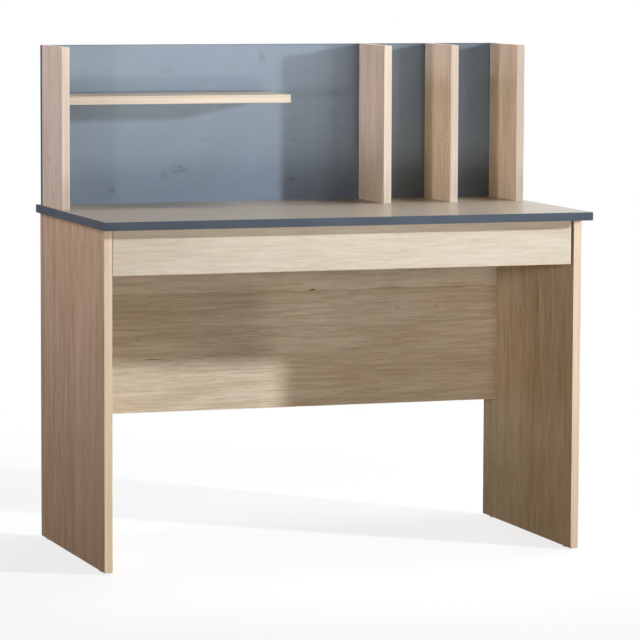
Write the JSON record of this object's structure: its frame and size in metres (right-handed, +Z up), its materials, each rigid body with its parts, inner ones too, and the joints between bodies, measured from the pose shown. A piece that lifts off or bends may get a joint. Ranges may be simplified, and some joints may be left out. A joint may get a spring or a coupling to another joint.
{
  "type": "student desk with hutch",
  "caption": "Panel-sided writing desk in light oak with a wide handle-less drawer and an open blue-grey backed hutch with a shelf and narrow upright bays.",
  "frame": {"origin": "on the floor under the middle of the desk's box", "axes": "+X to the sitter's right along the width, +Y from the front to the back, +Z up"},
  "size_m": [1.11, 0.57, 1.109],
  "materials": {
    "oak_board": "light oak melamine with a fine matt grain",
    "oak_edge": "pale oak printed edging, satin",
    "grey_board": "blue-grey melamine with faint clouding, matt",
    "grey_edge": "blue-grey edging, satin",
    "drawer_board": "pale oak foil, matt",
    "drawer_sheet": "lacquered hardboard, smooth",
    "runner_steel": "white epoxy coat",
    "roller_nylon": "natural nylon",
    "cam_zinc": "die-cast zinc, dull",
    "fastener_steel": "zinc plated",
    "beech_dowel": "bare beech",
    "cap_plastic": "blue-grey foil cap, matt",
    "glide_plastic": "natural nylon, matt"
  },
  "bodies": {
    "desk": {"left_side_panel": "oak_board", "right_side_panel": "oak_board", "desktop_panel": "oak_board", "modesty_panel": "oak_board", "hutch_left_side": "oak_board", "hutch_inner_divider": "oak_board", "hutch_outer_divider": "oak_board", "hutch_right_side": "oak_board", "hutch_shelf": "oak_board", "side_front_bands": "oak_edge", "side_back_bands": "oak_edge", "hutch_front_bands": "oak_edge", "hutch_top_bands": "oak_edge", "shelf_front_band": "oak_edge", "shelf_end_band": "oak_edge", "modesty_bottom_band": "oak_edge", "hutch_back_panel": "grey_board", "desktop_front_band": "grey_edge", "desktop_back_band": "grey_edge", "desktop_left_band": "grey_edge", "desktop_right_band": "grey_edge", "back_panel_top_band": "grey_edge", "back_panel_end_bands": "grey_edge", "left_cabinet_runner": "runner_steel", "right_cabinet_runner": "runner_steel", "desktop_cam_locks": "cam_zinc", "modesty_cam_locks": "cam_zinc", "cabinet_roller_axles": "fastener_steel", "cabinet_runner_screws": "fastener_steel", "desktop_cam_bolts": "fastener_steel", "modesty_cam_bolts": "fastener_steel", "hutch_base_screws": "fastener_steel", "hutch_back_screws": "fastener_steel", "desktop_dowels": "beech_dowel", "modesty_dowels": "beech_dowel", "shelf_dowels": "beech_dowel", "screw_cover_caps": "cap_plastic", "floor_glides": "glide_plastic"},
    "drawer": {"drawer_front": "oak_board", "drawer_front_long_bands": "oak_edge", "drawer_front_end_bands": "oak_edge", "drawer_left_side": "drawer_board", "drawer_right_side": "drawer_board", "drawer_back": "drawer_board", "drawer_bottom": "drawer_sheet", "left_drawer_runner": "runner_steel", "right_drawer_runner": "runner_steel", "drawer_roller_axles": "fastener_steel", "drawer_runner_screws": "fastener_steel", "drawer_cam_locks": "cam_zinc", "drawer_cam_bolts": "fastener_steel", "drawer_dowels": "beech_dowel", "drawer_back_screws": "fastener_steel", "drawer_bottom_screws": "fastener_steel"},
    "left_cabinet_roller": {"left_cabinet_roller": "roller_nylon"},
    "right_cabinet_roller": {"right_cabinet_roller": "roller_nylon"},
    "left_drawer_roller": {"left_drawer_roller": "roller_nylon"},
    "right_drawer_roller": {"right_drawer_roller": "roller_nylon"}
  },
  "joints": [
    {"name": "drawer_slide", "type": "slide", "parent": "desk", "child": "drawer", "axis": [0, -1, 0], "range_m": [0, 0.28]},
    {"name": "left_cabinet_roller_spin", "type": "hinge", "parent": "desk", "child": "left_cabinet_roller", "pos_m": [-0.522, -0.209, 0.6597], "axis": [1, 0, 0], "range_deg": [0, 2006]},
    {"name": "left_drawer_roller_spin", "type": "hinge", "parent": "drawer", "child": "left_drawer_roller", "pos_m": [-0.5201, 0.165, 0.6597], "axis": [1, 0, 0], "range_deg": [0, 2006]},
    {"name": "right_cabinet_roller_spin", "type": "hinge", "parent": "desk", "child": "right_cabinet_roller", "pos_m": [0.522, -0.209, 0.6597], "axis": [1, 0, 0], "range_deg": [0, 2006]},
    {"name": "right_drawer_roller_spin", "type": "hinge", "parent": "drawer", "child": "right_drawer_roller", "pos_m": [0.5201, 0.165, 0.6597], "axis": [1, 0, 0], "range_deg": [0, 2006]}
  ],
  "couplings": [
    {"joint": "left_cabinet_roller_spin", "follows": "drawer_slide", "rad_per_m": 125},
    {"joint": "left_drawer_roller_spin", "follows": "drawer_slide", "rad_per_m": 125},
    {"joint": "right_cabinet_roller_spin", "follows": "drawer_slide", "rad_per_m": 125},
    {"joint": "right_drawer_roller_spin", "follows": "drawer_slide", "rad_per_m": 125}
  ]
}
